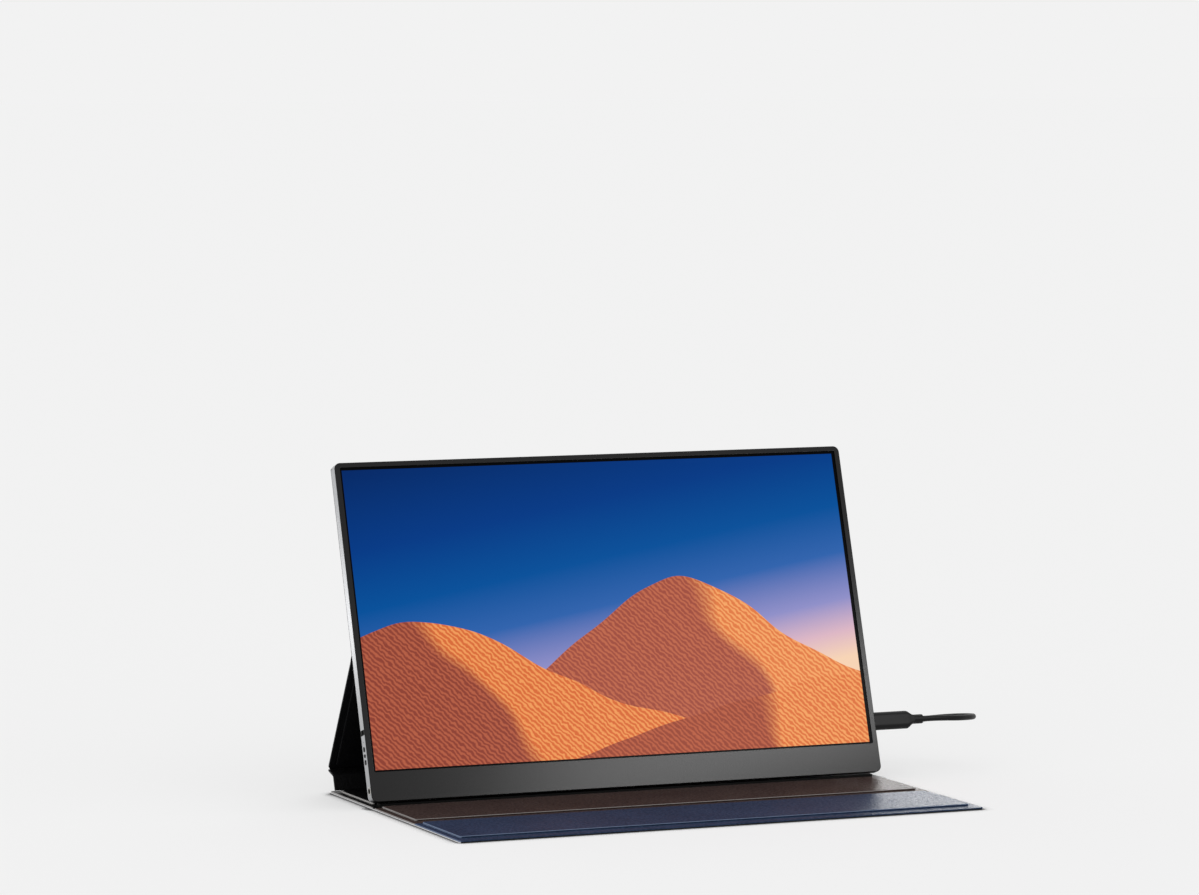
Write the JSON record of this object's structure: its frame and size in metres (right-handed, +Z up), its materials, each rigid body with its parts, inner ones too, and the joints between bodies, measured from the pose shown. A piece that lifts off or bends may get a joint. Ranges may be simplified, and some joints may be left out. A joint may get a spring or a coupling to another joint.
{
  "type": "portable monitor with folio cover",
  "caption": "Thin flat portable monitor propped up by its folding folio cover, with side buttons, a dial and a cable plugged into its side.",
  "frame": {"origin": "on the table, at the middle of the footprint of the monitor and its cover, cable left out", "axes": "+X to the right of the screen, +Y to the back, +Z up"},
  "size_m": [0.4421, 0.2922, 0.2129],
  "materials": {
    "shell": "satin",
    "bezel": "satin",
    "screen": "glossy glass, lit",
    "film": "matt",
    "acrylic": "clear",
    "lamp_strip": "matt",
    "steel": "brushed",
    "circuit_board": "semi-gloss",
    "chip": "matt",
    "flat_cable": "satin",
    "port_steel": "bright",
    "jack_plastic": "matt",
    "button": "satin",
    "dial_metal": "knurled, black",
    "light_pipe": "clear",
    "speaker_plastic": "matt",
    "magnet": "nickel plated",
    "adhesive": "matt",
    "outer_leather": "fine grain, matt",
    "inner_leather": "fine grain, glossy",
    "front_leather": "fine grain, pearl blue",
    "fibre_board": "matt",
    "grip_rubber": "matt",
    "plug_plastic": "satin",
    "cable_jacket": "satin",
    "tie_fabric": "woven"
  },
  "bodies": {
    "monitor": {"rear_shell": "shell", "front_bezel": "bezel", "lcd_cell": "screen", "optical_films": "film", "light_guide": "acrylic", "led_strip": "lamp_strip", "reflector_sheet": "film", "panel_tray": "steel", "main_board": "circuit_board", "board_chips": "chip", "board_screws": "steel", "driver_board": "circuit_board", "display_cable": "flat_cable", "power_port": "port_steel", "data_port": "port_steel", "video_port": "port_steel", "headphone_jack": "jack_plastic", "button_board": "circuit_board", "dial_axle": "steel", "dial_bracket": "jack_plastic", "status_light": "light_pipe", "speaker_left": "speaker_plastic", "speaker_right": "speaker_plastic", "monitor_magnets": "magnet", "adhesive_sheet": "adhesive", "back_panel_leather": "outer_leather", "back_panel_board": "fibre_board", "back_panel_lining": "inner_leather", "plug_shell": "port_steel", "plug_body": "plug_plastic", "strain_relief": "cable_jacket", "cable": "cable_jacket", "cable_coil": "cable_jacket", "cable_tie": "tie_fabric", "far_strain_relief": "cable_jacket", "far_plug_body": "plug_plastic", "far_plug_shell": "port_steel"},
    "leg": {"leg_leather": "outer_leather", "leg_board": "fibre_board", "leg_lining": "inner_leather"},
    "tail_strip": {"tail_strip": "outer_leather"},
    "spine_strip": {"spine_strip": "outer_leather"},
    "rear_flap": {"rear_flap_leather": "outer_leather", "rear_flap_board": "fibre_board", "rear_flap_lining": "inner_leather", "grip_strip": "grip_rubber"},
    "mid_flap": {"mid_flap_leather": "outer_leather", "mid_flap_board": "fibre_board", "mid_flap_lining": "inner_leather"},
    "front_flap": {"front_flap_leather": "outer_leather", "front_flap_board": "fibre_board", "front_flap_lining": "front_leather", "cover_magnets": "magnet"},
    "dial": {"dial_wheel": "dial_metal"},
    "up_button": {"menu_up_button": "button"},
    "middle_button": {"power_button": "button"},
    "down_button": {"menu_down_button": "button"}
  },
  "joints": [
    {"name": "stand_fold", "type": "hinge", "parent": "monitor", "child": "leg", "pos_m": [0, 0.0709, 0.0929], "axis": [-1, 0, 0], "range_deg": [0, 48]},
    {"name": "tail_fold", "type": "hinge", "parent": "leg", "child": "tail_strip", "pos_m": [0, 0.11403, 0.01439], "axis": [-1, 0, 0], "range_deg": [-104.89, 0]},
    {"name": "spine_fold", "type": "hinge", "parent": "tail_strip", "child": "spine_strip", "pos_m": [0, 0.10554, 0.01209], "axis": [-1, 0, 0], "range_deg": [0, 55.77]},
    {"name": "base_fold", "type": "hinge", "parent": "spine_strip", "child": "rear_flap", "pos_m": [0, 0.10252, 0.0034], "axis": [-1, 0, 0], "range_deg": [-70.92, 0]},
    {"name": "mid_fold", "type": "hinge", "parent": "rear_flap", "child": "mid_flap", "pos_m": [0, 0.03072, 0.0025], "axis": [-1, 0, 0], "range_deg": [0, 100]},
    {"name": "front_fold", "type": "hinge", "parent": "mid_flap", "child": "front_flap", "pos_m": [0, -0.03528, 0.0025], "axis": [-1, 0, 0], "range_deg": [0, 120]},
    {"name": "dial_turn", "type": "hinge", "parent": "monitor", "child": "dial", "pos_m": [-0.1756, 0.04937, 0.04637], "axis": [0, 0.309, 0.9511], "range_deg": [-25, 25], "stiffness_Nm_per_rad": 0.004},
    {"name": "menu_up_press", "type": "slide", "parent": "monitor", "child": "up_button", "axis": [1, 0, 0], "range_m": [0, 0.0004], "stiffness_N_per_m": 1500},
    {"name": "power_press", "type": "slide", "parent": "monitor", "child": "middle_button", "axis": [1, 0, 0], "range_m": [0, 0.0004], "stiffness_N_per_m": 1500},
    {"name": "menu_down_press", "type": "slide", "parent": "monitor", "child": "down_button", "axis": [1, 0, 0], "range_m": [0, 0.0004], "stiffness_N_per_m": 1500}
  ],
  "couplings": [
    {"joint": "tail_fold", "follows": "stand_fold", "ratio": -2.1842},
    {"joint": "spine_fold", "follows": "stand_fold", "ratio": 1.1607},
    {"joint": "base_fold", "follows": "stand_fold", "ratio": -1.4765}
  ]
}
